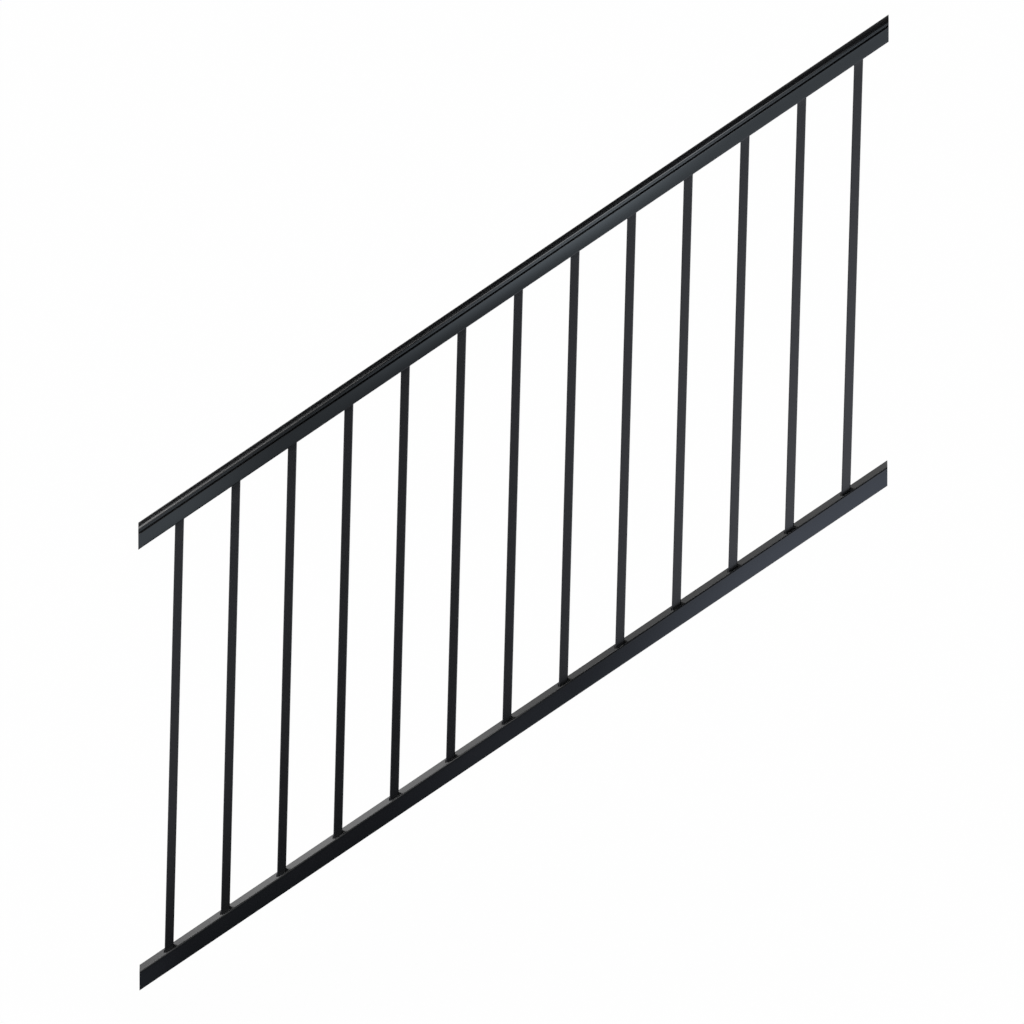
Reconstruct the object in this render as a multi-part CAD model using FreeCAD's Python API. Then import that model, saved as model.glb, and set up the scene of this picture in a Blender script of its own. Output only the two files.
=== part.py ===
"""Raked stair railing section: two sloping rails with thirteen square balusters between them.

The rails are drawn level, along X, with N (normal to the rails) up. Each finished piece is
then tilted to the slope of the stair, so that X is the run, Y the depth and Z plumb. The
front faces -Y and the section climbs towards +X. The origin is on the lower plumb-cut end of
the bottom rail, at the centre of its section, where the seat web is.
"""

import FreeCAD, Part
import math
import os

# Stair and panel
stair_rise = 190.5
stair_run = 266.7
panel_height = 992.0
end_margin = 72.0

# Balusters, which are square tubes
baluster_count = 13
baluster_pitch = 114.3
baluster_size = 18.0
baluster_wall = 1.4
baluster_corner = 1.6
baluster_lean = 1.47

# Walls and edges that both rails share
rail_width = 44.45
rail_wall = 2.0
edge_radius = 1.0
lower_edge_radius = 1.6
inner_radius = 0.5

# Bottom rail, an extrusion with a closed cell over an open channel
bottom_rail_height = 33.3
upper_edge_radius = 2.4
seat_web = 2.0
lip_width = 7.0

# Top rail channel, open at the top, with set-back flanges for the cap
channel_side = 26.3
shadow_groove = 3.9
flange_setback = 9.0
bead_projection = 0.8
bead_height = 1.4

# Cap that clips over the flanges of the channel
cap_wall = 2.0
cap_side = 5.7
cap_corner = 2.5
leg_wall = 1.4
crown_radius = 120.0
hook_projection = 0.8
hook_height = 1.2
flute_depth = 0.6
flute_height = 1.1
flute_margin = 0.4

# Clearances
slot_clearance = 0.4
slot_corner = 1.2
coating_gap = 0.1
clip_gap = 1.2
clip_play = 0.3

# Slope of the rails, and lean of the balusters from the normal of the rails
slope = math.atan2(stair_rise, stair_run)
rake = slope + math.radians(baluster_lean)
total_run = (baluster_count - 1) * baluster_pitch + 2 * end_margin

# Distances from the middle plane, along Y
half_width = rail_width / 2
flange_out = half_width - flange_setback
flange_in = flange_out - rail_wall

# The arc of the crown ends over the flanges, and its angle there is that of the straight slopes
crown_angle = math.asin(flange_out / crown_radius)

# Levels along N, from the middle of the bottom rail
bottom_rail_low = -bottom_rail_height / 2
bottom_rail_top = bottom_rail_height / 2
seat_top = seat_web / 2
top_rail_top = bottom_rail_low + panel_height * math.cos(slope)


def crown_apex(depth):
    """Level where the two straight slopes of the crown meet, at a depth under its surface."""
    rise = crown_radius * (1 / math.cos(crown_angle) - 1)
    return top_rail_top + rise - depth / math.cos(crown_angle)


def crown_level(y, depth):
    """Level of the crown at a distance from the middle plane: an arc that runs into straight slopes."""
    radius = crown_radius - depth
    if y < radius * math.sin(crown_angle):
        return top_rail_top - crown_radius + math.sqrt(radius ** 2 - y ** 2)
    return crown_apex(depth) - y * math.tan(crown_angle)


# Levels of the cap and the channel under its crown
cap_edge = crown_level(half_width, 0)
skirt_low = cap_edge - cap_side
flange_top = crown_level(flange_out, cap_wall) - coating_gap
head_level = crown_level(baluster_size / 2, cap_wall) - coating_gap
shoulder = skirt_low - shadow_groove
channel_low = shoulder - channel_side

X_AXIS = FreeCAD.Vector(1, 0, 0)
Y_AXIS = FreeCAD.Vector(0, 1, 0)
Z_AXIS = FreeCAD.Vector(0, 0, 1)
ORIGIN = FreeCAD.Vector(0, 0, 0)


def rounded_wire(corners, place):
    """Closed wire through (u, v, radius) corners, with an arc at each corner that has a radius.

    place(u, v) gives the point in space. The arc leaves each side at radius / tan(half angle)
    from the corner, and its middle lies on the bisector.
    """
    points = [FreeCAD.Vector(u, v, 0) for u, v, _ in corners]
    starts, ends, middles = [], [], []
    for index, (_, _, radius) in enumerate(corners):
        corner = points[index]
        back = (points[index - 1] - corner).normalize()
        ahead = (points[(index + 1) % len(points)] - corner).normalize()
        half_angle = back.getAngle(ahead) / 2
        reach = radius / math.tan(half_angle)
        starts.append(corner + back * reach)
        ends.append(corner + ahead * reach)
        bisector = (back + ahead).normalize()
        middles.append(corner + bisector * (radius / math.sin(half_angle) - radius))
    edges = []
    for index, (_, _, radius) in enumerate(corners):
        start, end = starts[index], ends[index]
        following = starts[(index + 1) % len(corners)]
        if radius > 0:
            middle = middles[index]
            arc = Part.Arc(place(start.x, start.y), place(middle.x, middle.y), place(end.x, end.y))
            edges.append(arc.toShape())
        edges.append(Part.LineSegment(place(end.x, end.y), place(following.x, following.y)).toShape())
    return Part.Wire(edges)


def mirrored(half, first=(), last=()):
    """Corners of a section that is the same on both sides of the middle plane.

    first and last hold a corner that lies in the middle plane itself.
    """
    return list(first) + half + list(last) + [(-y, n, radius) for y, n, radius in reversed(half)]


def rectangle(half_u, low, high, radius):
    """Corners of a rectangle that is centred along its first direction."""
    return [(half_u, low, radius), (half_u, high, radius), (-half_u, high, radius), (-half_u, low, radius)]


def section(outline, holes, place):
    """Face inside the outline's corners, less the holes."""
    face = Part.Face(rounded_wire(outline, place))
    for hole in holes:
        face = face.cut(Part.Face(rounded_wire(hole, place)))
    return face.Faces[0]


def extruded_rail(outline, holes):
    """Length of rail with the given section, long enough for both plumb cuts."""
    overhang = (abs(top_rail_top) + rail_width) * math.tan(slope)
    length = total_run / math.cos(slope) + 2 * overhang
    face = section(outline, holes, lambda y, n: FreeCAD.Vector(-overhang, y, n))
    return face.extrude(X_AXIS * length)


def tilted(shape):
    """The piece turned from the level drawing to the slope of the stair."""
    turned = shape.copy()
    turned.rotate(ORIGIN, Y_AXIS, -math.degrees(slope))
    return turned


def plumb_cut(rail):
    """The tilted rail with both ends cut plumb, at the two ends of the run."""
    depth = 2 * rail_width
    height = 2 * panel_height + total_run * math.tan(slope)
    corner = FreeCAD.Vector(0, -depth / 2, -panel_height)
    return tilted(rail).common(Part.makeBox(total_run, depth, height, corner))


def baluster_place(index, level):
    """Distance along the rails at which a baluster's axis crosses a level along N."""
    run = end_margin + index * baluster_pitch
    plumb_middle = run * math.tan(slope) + bottom_rail_low / math.cos(slope) + panel_height / 2
    along = run * math.cos(slope) + plumb_middle * math.sin(slope)
    middle = plumb_middle * math.cos(slope) - run * math.sin(slope)
    return along + (level - middle) * math.tan(rake)


def slots(web_low, web_high):
    """Punches for one web, a slot for each baluster, normal to the web.

    A tube of size a crosses the web at the rake r, so it covers a / cos(r) of each face and
    moves along by t tan(r) through a web of thickness t.
    """
    thickness = web_high - web_low
    covered = baluster_size / math.cos(rake) + thickness * math.tan(rake)
    half_length = covered / 2 + slot_clearance
    half_depth = baluster_size / 2 + slot_clearance
    punches = []
    for index in range(baluster_count):
        centre = baluster_place(index, (web_low + web_high) / 2)
        low = web_low - rail_wall / 4
        outline = rectangle(half_length, -half_depth, half_depth, slot_corner)
        face = section(outline, [], lambda u, y: FreeCAD.Vector(centre + u, y, low))
        punches.append(face.extrude(Z_AXIS * (thickness + rail_wall / 2)))
    return Part.makeCompound(punches)


def bottom_rail():
    """Flat-topped rail whose seat web carries the balusters, with lips along its open underside."""
    half = [
        (half_width, bottom_rail_top, upper_edge_radius),
        (half_width, bottom_rail_low, lower_edge_radius),
        (half_width - lip_width, bottom_rail_low, inner_radius),
        (half_width - lip_width, bottom_rail_low + rail_wall, inner_radius),
        (half_width - rail_wall, bottom_rail_low + rail_wall, inner_radius),
        (half_width - rail_wall, seat_top - seat_web, inner_radius),
    ]
    cell = rectangle(half_width - rail_wall, seat_top, bottom_rail_top - rail_wall, inner_radius)
    rail = extruded_rail(mirrored(half), [cell])
    rail = rail.cut(slots(bottom_rail_top - rail_wall, bottom_rail_top))
    return plumb_cut(rail)


def top_rail_channel():
    """Channel that takes the heads of the balusters, with a shoulder and a beaded flange."""
    bead_low = skirt_low + hook_height + clip_play
    bead_top = bead_low + bead_height
    half = [
        (half_width, channel_low, lower_edge_radius),
        (half_width, shoulder, edge_radius),
        (flange_out, shoulder, inner_radius),
        (flange_out, bead_low, 0),
        (flange_out + bead_projection, bead_low + bead_height / 2, 0),
        (flange_out, bead_top, 0),
        (flange_out, flange_top, inner_radius),
        (flange_in, flange_top, inner_radius),
        (flange_in, shoulder - rail_wall, inner_radius),
        (half_width - rail_wall, shoulder - rail_wall, inner_radius),
        (half_width - rail_wall, channel_low + rail_wall, inner_radius),
    ]
    rail = extruded_rail(mirrored(half), [])
    rail = rail.cut(slots(channel_low, channel_low + rail_wall))
    return plumb_cut(rail)


def top_rail_cap():
    """Clip-on cap with a low crown and a fine flute, whose inner legs hook under the beads."""
    flute_top = cap_edge - cap_corner - flute_margin
    flute_low = flute_top - flute_height
    skirt_in = half_width - cap_wall
    leg_in = flange_out + clip_gap
    leg_out = leg_in + leg_wall
    half = [
        (half_width, cap_edge, cap_corner),
        (half_width, flute_top, 0),
        (half_width - flute_depth, (flute_top + flute_low) / 2, flute_height / 4),
        (half_width, flute_low, 0),
        (half_width, skirt_low, edge_radius / 2),
        (skirt_in, skirt_low, inner_radius / 2),
        (skirt_in, crown_level(skirt_in, cap_wall), inner_radius),
        (leg_out, crown_level(leg_out, cap_wall), inner_radius),
        (leg_out, skirt_low, inner_radius / 2),
        (leg_in - hook_projection, skirt_low, inner_radius / 2),
        (leg_in - hook_projection, skirt_low + hook_height / 2, inner_radius / 2),
        (leg_in, skirt_low + hook_height, 0),
        (leg_in, crown_level(leg_in, cap_wall), inner_radius),
    ]
    outside = (0, crown_apex(0), crown_radius)
    inside = (0, crown_apex(cap_wall), crown_radius - cap_wall)
    return plumb_cut(extruded_rail(mirrored(half, [outside], [inside]), []))


def baluster(index):
    """Square tube, mitred at both ends to stand on the seat web and stop under the cap."""
    foot = seat_top + coating_gap
    head = head_level
    half = baluster_size / 2
    bore = half - baluster_wall
    bore_corner = max(baluster_corner - baluster_wall, baluster_wall / 4)
    reach = baluster_size * math.tan(rake)
    length = (head - foot) / math.cos(rake) + 2 * reach
    outside = rectangle(half, -half, half, baluster_corner)
    inside = rectangle(bore, -bore, bore, bore_corner)
    face = section(outside, [inside], lambda u, v: FreeCAD.Vector(u, v, -reach))
    tube = face.extrude(Z_AXIS * length)
    tube.rotate(ORIGIN, Y_AXIS, math.degrees(rake))
    start = baluster_place(index, foot)
    tube.translate(FreeCAD.Vector(start, 0, foot))
    room = (head - foot) * math.tan(rake) + 4 * baluster_size
    corner = FreeCAD.Vector(start - 2 * baluster_size, -baluster_size, foot)
    return tilted(tube.common(Part.makeBox(room, 2 * baluster_size, head - foot, corner)))


def single_solid(shape):
    """The one solid that an operation left inside its compound."""
    solids = shape.Solids
    if len(solids) != 1:
        raise ValueError("expected one solid, found %d" % len(solids))
    return solids[0]


def main():
    os.makedirs("parts", exist_ok=True)
    pieces = {
        "bottom_rail": bottom_rail(),
        "top_rail_channel": top_rail_channel(),
        "top_rail_cap": top_rail_cap(),
    }
    for index in range(baluster_count):
        pieces["baluster_%02d" % (index + 1)] = baluster(index)
    for name, shape in pieces.items():
        solid = single_solid(shape)
        solid.exportStep("parts/%s.step" % name)
        print(name, "volume %.0f mm3" % solid.Volume, "valid", solid.isValid())


main()
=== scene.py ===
"""Finish, fixings and studio for a raked stair railing section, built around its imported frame."""

import math

import bpy
import numpy as np
from bpy.props import FloatProperty, FloatVectorProperty, PointerProperty
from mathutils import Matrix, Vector


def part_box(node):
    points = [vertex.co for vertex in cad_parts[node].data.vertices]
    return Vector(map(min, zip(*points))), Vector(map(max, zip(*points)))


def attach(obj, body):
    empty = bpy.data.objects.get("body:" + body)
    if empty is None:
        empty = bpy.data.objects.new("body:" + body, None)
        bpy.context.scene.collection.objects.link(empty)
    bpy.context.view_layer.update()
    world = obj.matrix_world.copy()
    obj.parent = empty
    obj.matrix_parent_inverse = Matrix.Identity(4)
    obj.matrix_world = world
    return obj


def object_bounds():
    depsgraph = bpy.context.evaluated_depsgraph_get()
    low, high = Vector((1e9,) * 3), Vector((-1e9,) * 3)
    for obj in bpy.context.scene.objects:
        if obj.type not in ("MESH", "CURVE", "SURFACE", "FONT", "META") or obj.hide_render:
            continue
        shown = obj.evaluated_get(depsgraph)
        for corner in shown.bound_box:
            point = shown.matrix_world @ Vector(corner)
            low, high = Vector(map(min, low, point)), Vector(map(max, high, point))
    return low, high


bl_info = {
    "name": "Raked stair railing section",
    "version": (1, 0, 0),
    "blender": (4, 5, 0),
    "location": "View3D > Sidebar > Railing",
    "description": "Finishes, screws, floor, lights and camera for a raked stair railing section",
    "category": "Object",
}

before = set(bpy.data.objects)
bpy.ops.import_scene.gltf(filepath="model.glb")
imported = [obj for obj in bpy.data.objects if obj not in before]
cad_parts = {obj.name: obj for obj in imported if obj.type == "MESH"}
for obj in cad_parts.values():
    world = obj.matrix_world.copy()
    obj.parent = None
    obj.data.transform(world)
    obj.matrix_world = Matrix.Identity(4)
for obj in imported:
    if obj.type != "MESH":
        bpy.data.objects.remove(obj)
CAD_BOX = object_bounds()

MM = 0.001
RAILS = ("bottom_rail", "top_rail_channel", "top_rail_cap")
BALUSTERS = tuple(sorted(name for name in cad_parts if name.startswith("baluster")))


def rail_slope():
    """Slope of the rails, from the run and the rise of the bottom rail.

    The middle of its lower end is at the origin, so its plumb height there is twice what
    hangs below.
    """
    low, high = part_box("bottom_rail")
    plumb_height = -2 * low.z
    return math.atan2(high.z - low.z - plumb_height, high.x - low.x)


SLOPE = rail_slope()
LEAN = math.radians(1.47)  # of the balusters, from plumb towards +X

# Directions of the rails: along them, across them to the back, and square to them, upwards
ALONG = np.array((math.cos(SLOPE), 0, math.sin(SLOPE)))
ACROSS = np.array((0.0, 1.0, 0.0))
NORMAL = np.array((-math.sin(SLOPE), 0, math.cos(SLOPE)))
RUN = (1, 0, 0)

# Rise of the rails and fall of the camera's sight, each for a metre on the level
RAKE = 0.714
DIP = 0.341

WHITE = (1, 1, 1)


def linear(code):
    """Linear colour of an sRGB hex code."""
    parts = [int(code[i:i + 2], 16) / 255 for i in (0, 2, 4)]
    return tuple(c / 12.92 if c <= 0.04045 else ((c + 0.055) / 1.055) ** 2.4 for c in parts)


def node(tree, kind, settings=None):
    """Adds a shader node with its values and sockets set, or linked where an output is given."""
    made = tree.nodes.new(kind)
    for key, value in (settings or {}).items():
        if isinstance(value, bpy.types.NodeSocket):
            tree.links.new(value, made.inputs[key])
        elif isinstance(key, str) and hasattr(made, key):
            setattr(made, key, value)
        else:
            made.inputs[key].default_value = value
    return made


def empty_tree(owner):
    """Node tree of a new material or world, with nothing in it."""
    owner.use_nodes = True
    owner.node_tree.nodes.clear()
    return owner.node_tree


def powder_coat(name, colour, roughness, peel, streak, rise):
    """Semi-gloss black polyester powder coat, baked on extruded aluminium.

    The coat flows into a faint orange peel of low, rounded waves. Under it the drawn metal
    leaves faint streaks along the piece, whose length climbs at the angle rise from the run.
    Patches of the coat are a little glossier or duller. To the eye it is a soft, slightly
    uneven gloss. The heights of peel and streak are in metres.
    """
    wave_length = 2.6 * MM
    streak_width = 3.5 * MM
    streak_stretch = 50
    patch_size = 45 * MM
    glossier, duller = 0.03, 0.05

    material = bpy.data.materials.new(name)
    tree = empty_tree(material)
    place = node(tree, "ShaderNodeTexCoord").outputs["Object"]
    along = node(tree, "ShaderNodeMapping", {
        "vector_type": "TEXTURE", "Vector": place,
        "Rotation": (0, -rise, 0), "Scale": (streak_stretch, 1, 1)})
    waves = node(tree, "ShaderNodeTexNoise", {
        "Vector": place, "Scale": 1 / wave_length, "Detail": 1.0})
    streaks = node(tree, "ShaderNodeTexNoise", {
        "Vector": along.outputs["Vector"], "Scale": 1 / streak_width, "Detail": 2.0})
    patches = node(tree, "ShaderNodeTexNoise", {
        "Vector": place, "Scale": 1 / patch_size, "Detail": 3.0})
    gloss = node(tree, "ShaderNodeMapRange", {
        "Value": patches.outputs["Fac"], "To Min": roughness - glossier, "To Max": roughness + duller})
    streaked = node(tree, "ShaderNodeBump", {
        "Strength": 1.0, "Distance": streak, "Height": streaks.outputs["Fac"]})
    peeled = node(tree, "ShaderNodeBump", {
        "Strength": 1.0, "Distance": peel, "Height": waves.outputs["Fac"],
        "Normal": streaked.outputs["Normal"]})
    coat = node(tree, "ShaderNodeBsdfPrincipled", {
        "Base Color": (*colour, 1), "IOR": 1.5, "Roughness": gloss.outputs["Result"],
        "Normal": peeled.outputs["Normal"]})
    node(tree, "ShaderNodeOutputMaterial", {"Surface": coat.outputs["BSDF"]})
    return material


def black_paint(name, colour):
    """Thin black paint on the zinc-plated steel of small screws, with a fine grain.

    To the eye it is a little duller than the powder coat.
    """
    grain_size = 0.35 * MM
    grain_height = 0.006 * MM
    glossiest, dullest = 0.3, 0.42

    material = bpy.data.materials.new(name)
    tree = empty_tree(material)
    place = node(tree, "ShaderNodeTexCoord").outputs["Object"]
    grain = node(tree, "ShaderNodeTexNoise", {
        "Vector": place, "Scale": 1 / grain_size, "Detail": 2.0})
    rough = node(tree, "ShaderNodeBump", {
        "Strength": 0.6, "Distance": grain_height, "Height": grain.outputs["Fac"]})
    gloss = node(tree, "ShaderNodeMapRange", {
        "Value": grain.outputs["Fac"], "To Min": glossiest, "To Max": dullest})
    paint = node(tree, "ShaderNodeBsdfPrincipled", {
        "Base Color": (*colour, 1), "IOR": 1.5, "Roughness": gloss.outputs["Result"],
        "Normal": rough.outputs["Normal"]})
    node(tree, "ShaderNodeOutputMaterial", {"Surface": paint.outputs["BSDF"]})
    return material


def dress(names, material):
    """Gives CAD nodes a material in each of their slots."""
    for name in names:
        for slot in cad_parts[name].material_slots:
            slot.material = material


class RailingFinish(bpy.types.PropertyGroup):
    coat: FloatVectorProperty(
        name="Coat", description="Colour of the powder coat",
        subtype="COLOR", size=3, min=0, max=1, default=linear("101113"))
    rail_roughness: FloatProperty(
        name="Rail roughness", description="Gloss of the coat on the rails",
        subtype="FACTOR", min=0.05, max=1, default=0.17)
    baluster_roughness: FloatProperty(
        name="Baluster roughness", description="Gloss of the coat on the balusters",
        subtype="FACTOR", min=0.05, max=1, default=0.24)


class RailingScrews(bpy.types.PropertyGroup):
    head_width: FloatProperty(
        name="Head width", description="Diameter of a pan head", unit="LENGTH", default=0.008)
    head_height: FloatProperty(
        name="Head height", description="Height of a pan head", unit="LENGTH", default=0.0024)
    recess_width: FloatProperty(
        name="Recess width", description="Width of the cross recess over its wings",
        unit="LENGTH", default=0.0046)
    recess_depth: FloatProperty(
        name="Recess depth", description="Depth of the cross recess", unit="LENGTH", default=0.0015)
    web: FloatProperty(
        name="Web", description="From a baluster's foot to the underside of the seat web",
        unit="LENGTH", default=0.0021)


class RailingStage(bpy.types.PropertyGroup):
    lens: FloatProperty(
        name="Lens", description="Focal length, long enough to keep plumb lines parallel",
        unit="CAMERA", min=100, max=1700, default=1600)
    elevation: FloatProperty(
        name="Elevation", description="How far the camera looks down",
        subtype="ANGLE", default=math.radians(18.85))
    view_width: FloatProperty(
        name="View width", description="Width of the picture at the section",
        unit="LENGTH", default=2.0721)
    aim_aside: FloatProperty(
        name="Aim aside", description="Picture's centre from the middle of the run",
        unit="LENGTH", default=-0.0015)
    aim_down: FloatProperty(
        name="Aim down", description="Picture's centre below the middle of the height",
        unit="LENGTH", default=0.0177)
    floor_below: FloatProperty(
        name="Floor below", description="Floor under the lower end of the section",
        unit="LENGTH", default=0.09)


class RAILING_OT_finish_rails(bpy.types.Operator):
    """Coat the bottom rail, the top rail channel and its cap"""

    bl_idname = "railing.finish_rails"
    bl_label = "Finish rails"

    def execute(self, context):
        finish = context.scene.railing_finish
        coat = powder_coat("semi_gloss_powder_coat_on_rails", tuple(finish.coat),
                           finish.rail_roughness, peel=0.002 * MM, streak=0.007 * MM, rise=SLOPE)
        dress(RAILS, coat)
        return {"FINISHED"}


class RAILING_OT_finish_balusters(bpy.types.Operator):
    """Coat the square balusters"""

    bl_idname = "railing.finish_balusters"
    bl_label = "Finish balusters"

    def execute(self, context):
        finish = context.scene.railing_finish
        coat = powder_coat("semi_gloss_powder_coat_on_balusters", tuple(finish.coat),
                           finish.baluster_roughness, peel=0.006 * MM, streak=0.004 * MM,
                           rise=math.pi / 2 - LEAN)
        dress(BALUSTERS, coat)
        return {"FINISHED"}


def baluster_foot(name):
    """Middle of the mitred foot of a baluster, from its lowest corners square to the rails."""
    mesh_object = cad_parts[name]
    points = np.empty(3 * len(mesh_object.data.vertices))
    mesh_object.data.vertices.foreach_get("co", points)
    matrix = np.array(mesh_object.matrix_world)
    points = points.reshape(-1, 3) @ matrix[:3, :3].T + matrix[:3, 3]
    levels = points @ NORMAL
    tolerance = 0.02 * MM
    foot = points[levels < levels.min() + tolerance]
    return (foot.min(axis=0) + foot.max(axis=0)) / 2


def pan_head(screws, rings=26, spokes=72):
    """Places and heights of a cross-recessed pan head over a grid of radii and angles.

    The height over the seat is h (1 - r^6)^(1/2), flat in the middle and steep at the rim, for
    radius r as a share of the whole. The rings crowd a little towards the rim. The recess is a
    cross of two slots with sloping sides and ends: where the smaller of |x| and |y| is below
    half a slot's width and the greater is below the reach of a wing, the depth grows evenly
    from the edge inwards, up to the whole.
    """
    crowding = 0.8
    slot_half, slot_side, wing_end = 0.0006, 0.0003, 0.0007
    share = np.linspace(0, 1, rings) ** crowding
    angle = np.linspace(0, 2 * math.pi, spokes, endpoint=False)
    x = share[:, None] * np.cos(angle) * screws.head_width / 2
    y = share[:, None] * np.sin(angle) * screws.head_width / 2
    dome = screws.head_height * np.sqrt(1 - share[:, None] ** 6)
    near, far = np.minimum(abs(x), abs(y)), np.maximum(abs(x), abs(y))
    reach = screws.recess_width / 2
    across = np.clip((slot_half - near) / slot_side, 0, 1)
    outward = np.clip((reach - far) / wing_end, 0, 1)
    return x, y, dome - screws.recess_depth * across * outward


def screw(name, seat, screws):
    """Pan head that hangs from a seat on the web.

    A point is seat + x along + y across - height normal over the grid of pan_head, whose first
    ring is one point. The rim is closed by a fan of triangles to the seat.
    """
    x, y, height = pan_head(screws)
    rings, spokes = x.shape
    grid = seat + x[..., None] * ALONG + y[..., None] * ACROSS - height[..., None] * NORMAL
    points = np.vstack((grid[:1, 0], grid[1:].reshape(-1, 3), [seat]))
    spoke = np.arange(spokes)
    after = (spoke + 1) % spokes
    tip, last = np.zeros_like(spoke), np.full_like(spoke, len(points) - 1)
    starts = 1 + spokes * np.arange(rings - 1)[:, None]
    inner, outer, rim = starts[:-1], starts[1:], starts[-1]
    centre = np.stack((1 + after, 1 + spoke, tip), axis=-1)
    walls = np.stack((inner + after, outer + after, outer + spoke, inner + spoke), axis=-1)
    back = np.stack((rim + spoke, rim + after, last), axis=-1)
    mesh = bpy.data.meshes.new(name)
    mesh.from_pydata(points.tolist(), [], centre.tolist() + walls.reshape(-1, 4).tolist() + back.tolist())
    mesh.shade_smooth()
    mesh.set_sharp_from_angle(angle=math.radians(38))
    made = bpy.data.objects.new(name, mesh)
    bpy.context.scene.collection.objects.link(made)
    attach(made, "root")
    return made


class RAILING_OT_fix_screws(bpy.types.Operator):
    """Put a pan-head screw under the seat web at the foot of each baluster"""

    bl_idname = "railing.fix_screws"
    bl_label = "Fix screws"

    def execute(self, context):
        screws = context.scene.railing_screws
        paint = black_paint("black_painted_steel_screws", tuple(context.scene.railing_finish.coat))
        for name in BALUSTERS:
            seat = baluster_foot(name) - screws.web * NORMAL
            made = screw(name.replace("baluster", "foot_screw"), seat, screws)
            made.data.materials.append(paint)
        return {"FINISHED"}


def plane(name, centre, along, up):
    """Flat four-cornered sheet of the stage: centre + u along + v up, for u and v of -1 and 1."""
    u, v = np.meshgrid((-1.0, 1.0), (-1.0, 1.0))
    grid = np.asarray(centre) + u[..., None] * np.asarray(along) + v[..., None] * np.asarray(up)
    mesh = bpy.data.meshes.new(name)
    mesh.from_pydata(grid.reshape(-1, 3).tolist(), [], [(0, 1, 3, 2)])
    made = bpy.data.objects.new(name, mesh)
    bpy.context.scene.collection.objects.link(made)
    return made


def background_rays(tree):
    """Output that is one for camera, glossy and transmission rays, and nought for the rest."""
    path = node(tree, "ShaderNodeLightPath")
    first = node(tree, "ShaderNodeMath", {
        "operation": "MAXIMUM", 0: path.outputs["Is Camera Ray"], 1: path.outputs["Is Glossy Ray"]})
    both = node(tree, "ShaderNodeMath", {
        "operation": "MAXIMUM", 0: first.outputs["Value"], 1: path.outputs["Is Transmission Ray"]})
    return both.outputs["Value"]


def shade_along(tree, place, direction, span, levels):
    """Level that goes smoothly from one to another over a span of distances along a direction.

    With s the share of the way through the span, it is low + (3 s^2 - 2 s^3)(high - low).
    A level is a number, or the output of another shade.
    """
    distance = node(tree, "ShaderNodeVectorMath", {
        "operation": "DOT_PRODUCT", 0: place, 1: tuple(direction)})
    graded = node(tree, "ShaderNodeMapRange", {
        "interpolation_type": "SMOOTHSTEP", "Value": distance.outputs["Value"],
        "From Min": span[0], "From Max": span[1], "To Min": levels[0], "To Max": levels[1]})
    return graded.outputs["Result"]


def reflection_card(name, centre, along, up, grade):
    """Card that glows only in reflections, with its brightness graded over its face: a painted reflection
    on the section's gloss.

    grade(tree, place) gives the level and the tint of the card from the place on it.
    """
    card = plane(name, centre, along, up)
    card.visible_camera = False
    card.visible_diffuse = False
    card.visible_transmission = False
    card.visible_shadow = False
    material = bpy.data.materials.new(name)
    tree = empty_tree(material)
    level, tint = grade(tree, node(tree, "ShaderNodeTexCoord").outputs["Object"])
    glow = node(tree, "ShaderNodeEmission", {"Color": (*tint, 1), "Strength": level})
    node(tree, "ShaderNodeOutputMaterial", {"Surface": glow.outputs["Emission"]})
    card.data.materials.append(material)


def front_grade(tree, place):
    """Card on the floor in front, a painted reflection: dark before the left bays, bright before the
    right ones.

    A face at run x and height w over the bottom rail mirrors the floor at y, where
    w + 0.11 = -DIP y - RAKE x. It is bright too before the upper part of the first bays, and
    where the top rail's face mirrors it.
    """
    height = (-RAKE, -DIP, 0)
    dark_side = shade_along(tree, place, height, (0.1, 1.0), (0.03, 0.15))
    bright_side = shade_along(tree, place, height, (0.1, 1.1), (1.6, 1.05))
    sides = shade_along(tree, place, RUN, (0.72, 1.3), (dark_side, bright_side))
    lower_end = shade_along(tree, place, RUN, (0.04, 0.26), (0.8, sides))
    ends = shade_along(tree, place, height, (0.15, 0.5), (sides, lower_end))
    left_top = shade_along(tree, place, RUN, (0.14, 0.35), (1.1, 0.55))
    top = shade_along(tree, place, RUN, (0.4, 0.8), (left_top, 1.0))
    return shade_along(tree, place, height, (1.0, 1.12), (ends, top)), (0.97, 1.0, 1.12)


def back_grade(tree, place):
    """Card behind, a painted reflection: grey low down and brightest just left of the section.

    What the cap mirrors is black, a painted dark reflection on its top, a little lighter on the right.
    Far to the left it is white above a steep edge.
    """
    left = shade_along(tree, place, RUN, (-0.9, -0.55), (0.5, 0.85))
    low_grey = shade_along(tree, place, RUN, (-0.33, 0.1), (left, 0.32))
    black = shade_along(tree, place, RUN, (0.38, 0.72), (0.0, 0.045))
    lower = shade_along(tree, place, (-RAKE, 0, 1), (1.0, 1.25), (low_grey, black))
    return shade_along(tree, place, (-2.1, 0, 1), (4.3, 4.45), (lower, 2.9)), WHITE


def top_face_painted_sheen(tree, place):
    """Strip close to the top rail's face, a painted sheen on that face, dimmer at a quarter of the run.

    Its upper part has a swell at the middle of the run and is a little brighter on the right.
    """
    left = shade_along(tree, place, RUN, (0.05, 0.3), (1.05, 0.45))
    face = shade_along(tree, place, RUN, (0.65, 1.05), (left, 0.92))
    upward = shade_along(tree, place, NORMAL, (0.736, 0.767), (0.0, 1.8))
    risen = shade_along(tree, place, RUN, (0.3, 0.85), (0.0, upward))
    swell = shade_along(tree, place, RUN, (0.9, 1.25), (risen, 0.0))
    cap = shade_along(tree, place, NORMAL, (0.756, 0.766), (0.0, 0.75))
    lift = shade_along(tree, place, RUN, (0.7, 1.1), (0.0, cap))
    swelled = node(tree, "ShaderNodeMath", {"operation": "ADD", 0: face, 1: swell})
    lifted = node(tree, "ShaderNodeMath", {"operation": "ADD", 0: swelled.outputs["Value"], 1: lift})
    return lifted.outputs["Value"], (0.86, 1.0, 1.12)


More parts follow.
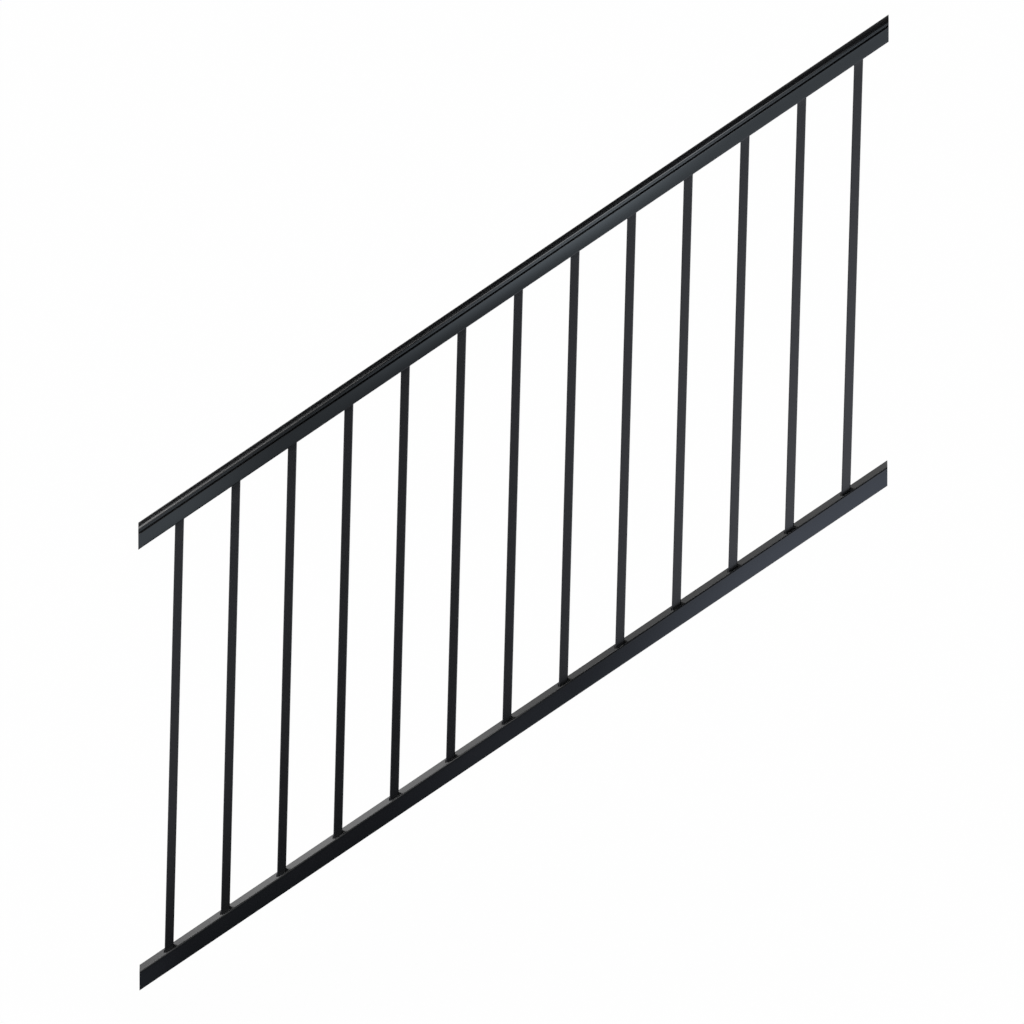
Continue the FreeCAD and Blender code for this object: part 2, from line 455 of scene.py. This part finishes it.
def bottom_face_painted_reflection(tree, place):
    """Strip close to the bottom rail's face, a painted reflection on that face: almost black on the left,
    bright on the right.
    """
    left = shade_along(tree, place, RUN, (0.0, 0.12), (0.21, 0.09))
    middle = shade_along(tree, place, RUN, (0.45, 0.75), (left, 0.28))
    return shade_along(tree, place, RUN, (0.86, 1.33), (middle, 1.33)), (0.88, 1.0, 1.25)


def cap_corner_painted_highlight(tree, place):
    """Strip over the cap's front corner, a painted highlight along that corner, brightest at its own
    middle.
    """
    risen = shade_along(tree, place, ALONG, (1.1, 1.6), (0.0, 3.5))
    return shade_along(tree, place, ALONG, (1.86, 2.3), (risen, 0.36)), (0.95, 1.0, 1.05)


def bays_grade(tree, place):
    """Sheet over the bays, black but for a bright place that the bottom rail's corner mirrors."""
    risen = shade_along(tree, place, ALONG, (0.4, 0.6), (0.02, 2.2))
    return shade_along(tree, place, ALONG, (0.7, 0.95), (risen, 0.02)), WHITE


def black_grade(tree, place):
    """Black, the same all over: a painted dark reflection."""
    return 0.02, WHITE


def face_card(name, start, depth, low, high, grade):
    """Card parallel to the rails' faces, at a depth, between two levels square to the rails."""
    length = 2.1
    middle = (start + length / 2) * ALONG + depth * ACROSS + (low + high) / 2 * NORMAL
    reflection_card(name, middle, length / 2 * ALONG, (high - low) / 2 * NORMAL, grade)


def bays_card(name, start, near, far, level, grade):
    """Card parallel to the rails' tops, between two depths, at a level over the bays."""
    end = 1.95
    middle = (start + end) / 2 * ALONG + (near + far) / 2 * ACROSS + level * NORMAL
    reflection_card(name, middle, (end - start) / 2 * ALONG, (far - near) / 2 * ACROSS, grade)


def make_cards(floor):
    """Cards around the section and close to its rails, which their gloss mirrors: painted reflections.

    Graded ones lie on the floor in front, stand behind, and run beside the faces of both rails
    and over the front corners of the cap and the bottom rail; they paint highlights and sheen.
    Black ones are on the floor behind, overhead, in front, over the bays and beside the bottom
    rail's front corner; they paint dark reflections.
    """
    over_floor = floor + 0.002
    reflection_card("card_floor_front", centre=(0.8, -5.02, over_floor), along=(4.8, 0, 0),
                    up=(0, 5, 0), grade=front_grade)
    reflection_card("card_floor_behind", centre=(0.8, 1.23, over_floor), along=(4.8, 0, 0),
                    up=(0, 1.25, 0), grade=black_grade)
    reflection_card("card_wall_behind", centre=(0.8, 2.5, floor + 3), along=(4.8, 0, 0),
                    up=(0, 0, 3), grade=back_grade)
    reflection_card("card_ceiling", centre=(1.45, -0.3, 3.4), along=(3.55, 0, 0),
                    up=(0, 2.8, 0), grade=black_grade)
    reflection_card("card_front_left", centre=(-1.5, -3.0, 2.75), along=(0.75, 0, 0),
                    up=(0, 0, 0.85), grade=black_grade)
    reflection_card("card_front_dark", centre=(1.2, -3.3, 1.95), along=(1.5, 0, 1.07),
                    up=(0, 0, 1.15), grade=black_grade)
    face_card("card_at_top_face", start=0.39, depth=-0.1, low=0.7295, high=0.79, grade=top_face_painted_sheen)
    face_card("card_at_bottom_face", start=-0.11, depth=-0.1, low=-0.045, high=-0.0075,
              grade=bottom_face_painted_reflection)
    # Black strip just in front of the bottom rail: a painted dark line along its upper front corner and a
    # thin painted dark band on the balusters just above their feet.
    face_card("card_at_bottom_edge", start=-0.11, depth=-0.03, low=0.0121, high=0.015, grade=black_grade)
    bays_card("card_over_bays_front", start=-0.1, near=-0.42, far=-0.115, level=0.715, grade=black_grade)
    bays_card("card_over_bays_back", start=1.05, near=0.012, far=0.3, level=0.715, grade=black_grade)
    bays_card("card_over_bays_bright", start=0.39, near=-1.0, far=-0.14, level=0.71, grade=bays_grade)
    reflection_card("card_front_upper", centre=(-0.06, -3.0, 2.2), along=(0.66, 0, 0),
                    up=(0, 0, 1.7), grade=black_grade)
    over_cap = 1.68 * ALONG - 0.049 * ACROSS + 1.0855 * NORMAL
    tilted = 0.995 * ACROSS + 0.097 * NORMAL
    reflection_card("card_over_cap_corner", centre=over_cap, along=0.6 * ALONG,
                    up=0.357 * tilted, grade=cap_corner_painted_highlight)


def make_floor(half_width, level, centre):
    """Pale floor that reads as the white background but keeps a faint shadow."""
    background_share = 0.92
    floor = plane("floor", (centre.x, centre.y, level), (half_width, 0, 0), (0, half_width, 0))
    material = bpy.data.materials.new("matt_white_floor")
    tree = empty_tree(material)
    share = node(tree, "ShaderNodeMath", {
        "operation": "MULTIPLY", 0: background_rays(tree), 1: background_share})
    paint = node(tree, "ShaderNodeBsdfDiffuse", {"Color": (0.95, 0.95, 0.95, 1)})
    white = node(tree, "ShaderNodeEmission", {"Strength": 1.015})
    mix = node(tree, "ShaderNodeMixShader", {
        0: share.outputs["Value"], 1: paint.outputs["BSDF"], 2: white.outputs["Emission"]})
    node(tree, "ShaderNodeOutputMaterial", {"Surface": mix.outputs["Shader"]})
    floor.data.materials.append(material)


def make_world(strength):
    """Soft even light, with a plain white background for the camera, reflections and glass."""
    world = bpy.data.worlds.new("studio")
    bpy.context.scene.world = world
    tree = empty_tree(world)
    soft = node(tree, "ShaderNodeBackground", {"Color": (*WHITE, 1), "Strength": strength})
    white = node(tree, "ShaderNodeBackground", {"Color": (*WHITE, 1), "Strength": 1.0})
    mix = node(tree, "ShaderNodeMixShader", {
        0: background_rays(tree), 1: soft.outputs["Background"], 2: white.outputs["Background"]})
    node(tree, "ShaderNodeOutputWorld", {"Surface": mix.outputs["Shader"]})


def make_camera(stage, middle):
    """Long lens, so plumb lines stay nearly parallel, looking down at the front by the elevation."""
    data = bpy.data.cameras.new("camera")
    data.lens = stage.lens
    data.sensor_width = 36
    distance = stage.lens / data.sensor_width * stage.view_width
    data.clip_end = 2 * distance
    aim = Vector((middle.x + stage.aim_aside, 0, middle.z - stage.aim_down))
    look = Vector((0, math.cos(stage.elevation), -math.sin(stage.elevation)))
    camera = bpy.data.objects.new("camera", data)
    camera.location = aim - look * distance
    camera.rotation_euler = (math.pi / 2 - stage.elevation, 0, 0)
    bpy.context.scene.collection.objects.link(camera)
    bpy.context.scene.camera = camera


def make_softbox(name, centre, aim, size, power):
    """Rectangular area light that faces a point and gives no reflection of itself."""
    data = bpy.data.lights.new(name, "AREA")
    data.shape = "RECTANGLE"
    data.size, data.size_y = size
    data.energy = power
    lamp = bpy.data.objects.new(name, data)
    lamp.visible_glossy = False
    lamp.location = centre
    lamp.rotation_euler = (Vector(aim) - Vector(centre)).to_track_quat("-Z", "Y").to_euler()
    bpy.context.scene.collection.objects.link(lamp)


class RAILING_OT_build_stage(bpy.types.Operator):
    """Set the camera, the floor, the cards that paint reflections and the studio light"""

    bl_idname = "railing.build_stage"
    bl_label = "Build stage"

    def execute(self, context):
        stage = context.scene.railing_stage
        low, high = (Vector(corner) for corner in CAD_BOX)
        middle = (low + high) / 2
        floor = low.z - stage.floor_below
        make_camera(stage, middle)
        make_floor(half_width=12.0, level=floor, centre=middle)
        make_cards(floor)
        make_world(strength=0.8)
        make_softbox("softbox_key", centre=(-0.25, -3.0, 2.55), aim=(0.75, 0, 1.4),
                     size=(1.0, 1.3), power=8)
        context.scene.view_settings.view_transform = "Standard"
        return {"FINISHED"}


class RAILING_PT_panel(bpy.types.Panel):
    """Sidebar panel with the operators in order"""

    bl_label = "Railing"
    bl_idname = "RAILING_PT_panel"
    bl_space_type = "VIEW_3D"
    bl_region_type = "UI"
    bl_category = "Railing"

    def draw(self, context):
        for operator in OPERATORS:
            self.layout.operator(operator.bl_idname)


OPERATORS = (RAILING_OT_finish_rails, RAILING_OT_finish_balusters, RAILING_OT_fix_screws,
             RAILING_OT_build_stage)
CLASSES = (RailingFinish, RailingScrews, RailingStage) + OPERATORS + (RAILING_PT_panel,)


def register():
    for cls in CLASSES:
        bpy.utils.register_class(cls)
    bpy.types.Scene.railing_finish = PointerProperty(type=RailingFinish)
    bpy.types.Scene.railing_screws = PointerProperty(type=RailingScrews)
    bpy.types.Scene.railing_stage = PointerProperty(type=RailingStage)


def unregister():
    del bpy.types.Scene.railing_stage
    del bpy.types.Scene.railing_screws
    del bpy.types.Scene.railing_finish
    for cls in reversed(CLASSES):
        bpy.utils.unregister_class(cls)


def main():
    register()
    bpy.ops.railing.finish_rails()
    bpy.ops.railing.finish_balusters()
    bpy.ops.railing.fix_screws()
    bpy.ops.railing.build_stage()


if __name__ == "__main__":
    main()
